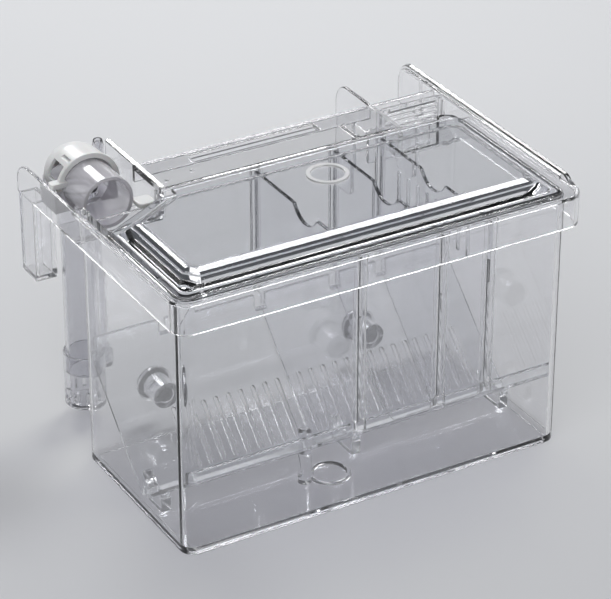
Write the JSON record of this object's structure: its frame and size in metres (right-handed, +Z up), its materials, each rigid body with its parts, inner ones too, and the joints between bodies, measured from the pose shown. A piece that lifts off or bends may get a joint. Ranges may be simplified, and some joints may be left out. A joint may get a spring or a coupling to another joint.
{
  "type": "fish breeding box",
  "caption": "Clear breeding box that hangs on an aquarium's rim, with lid, slotted trap, removable dividers, air lift inlet, outlet spout with grille and levelling spacers.",
  "frame": {"origin": "middle of the overall footprint, on the surface that the tank stands on", "axes": "+X along the box to the right, +Y from the front to the hooks at the back, +Z up"},
  "size_m": [0.164, 0.125, 0.1132],
  "materials": {
    "clear_moulding": "clear polished moulding",
    "clear_rim": "clear polished moulding with bright edges",
    "clear_trap": "clear moulding, slightly frosted",
    "clear_divider": "clear moulding",
    "clear_lift": "clear grey moulding",
    "white_fitting": "white satin moulding",
    "rubber_pad": "soft matt rubber"
  },
  "bodies": {
    "box": {"tank": "clear_moulding", "front_skirt": "clear_rim", "left_arm": "clear_rim", "right_arm": "clear_rim", "bridge_plate": "clear_rim", "rear_bar": "clear_rim", "left_leg": "clear_rim", "outlet_cheek": "clear_rim", "outlet_spout": "clear_rim", "inlet_trough": "clear_rim", "trap_post": "clear_moulding"},
    "lid": {"lid": "clear_moulding"},
    "trap": {"trap_front_plate": "clear_trap", "trap_back_plate": "clear_trap", "trap_feet": "clear_trap"},
    "left_divider": {"left_divider": "clear_divider"},
    "right_divider": {"right_divider": "clear_divider"},
    "outlet_partition": {"outlet_partition": "clear_divider"},
    "grille": {"outlet_grille": "clear_divider"},
    "uptake": {"lift_bowl": "clear_lift", "lift_duct": "clear_lift", "riser_tube": "clear_lift", "intake_strainer": "clear_lift", "air_pipe": "clear_lift", "air_nozzle": "clear_lift"},
    "hood": {"lift_hood": "white_fitting"},
    "gate": {"flow_gate": "clear_divider", "gate_grip": "white_fitting"},
    "left_spacer": {"left_spacer": "clear_divider", "left_spacer_pad": "rubber_pad"},
    "right_spacer": {"right_spacer": "clear_divider", "right_spacer_pad": "rubber_pad"}
  },
  "joints": [
    {"name": "lid_lift", "type": "slide", "parent": "box", "child": "lid", "axis": [0, 0, 1], "range_m": [0, 0.14]},
    {"name": "trap_lift", "type": "slide", "parent": "box", "child": "trap", "axis": [0, 0, 1], "range_m": [0, 0.101]},
    {"name": "left_divider_lift", "type": "slide", "parent": "box", "child": "left_divider", "axis": [0, 0, 1], "range_m": [0, 0.105]},
    {"name": "right_divider_lift", "type": "slide", "parent": "box", "child": "right_divider", "axis": [0, 0, 1], "range_m": [0, 0.105]},
    {"name": "partition_lift", "type": "slide", "parent": "box", "child": "outlet_partition", "axis": [0, 0, 1], "range_m": [0, 0.105]},
    {"name": "grille_lift", "type": "slide", "parent": "box", "child": "grille", "axis": [0, 0, 1], "range_m": [0, 0.016]},
    {"name": "uptake_lift", "type": "slide", "parent": "box", "child": "uptake", "axis": [0, 0, 1], "range_m": [0, 0.1]},
    {"name": "hood_lift", "type": "slide", "parent": "uptake", "child": "hood", "axis": [0, 0, 1], "range_m": [0, 0.015]},
    {"name": "gate_lift", "type": "slide", "parent": "box", "child": "gate", "axis": [0, 0, 1], "range_m": [0, 0.01]},
    {"name": "left_spacer_slide", "type": "slide", "parent": "box", "child": "left_spacer", "axis": [0, 1, 0], "range_m": [0, 0.006]},
    {"name": "right_spacer_slide", "type": "slide", "parent": "box", "child": "right_spacer", "axis": [0, 1, 0], "range_m": [0, 0.006]}
  ],
  "couplings": [
    {"joint": "trap_lift", "follows": "lid_lift", "ratio": 0.72},
    {"joint": "left_divider_lift", "follows": "lid_lift", "ratio": 0.75},
    {"joint": "right_divider_lift", "follows": "lid_lift", "ratio": 0.75},
    {"joint": "partition_lift", "follows": "lid_lift", "ratio": 0.75}
  ]
}
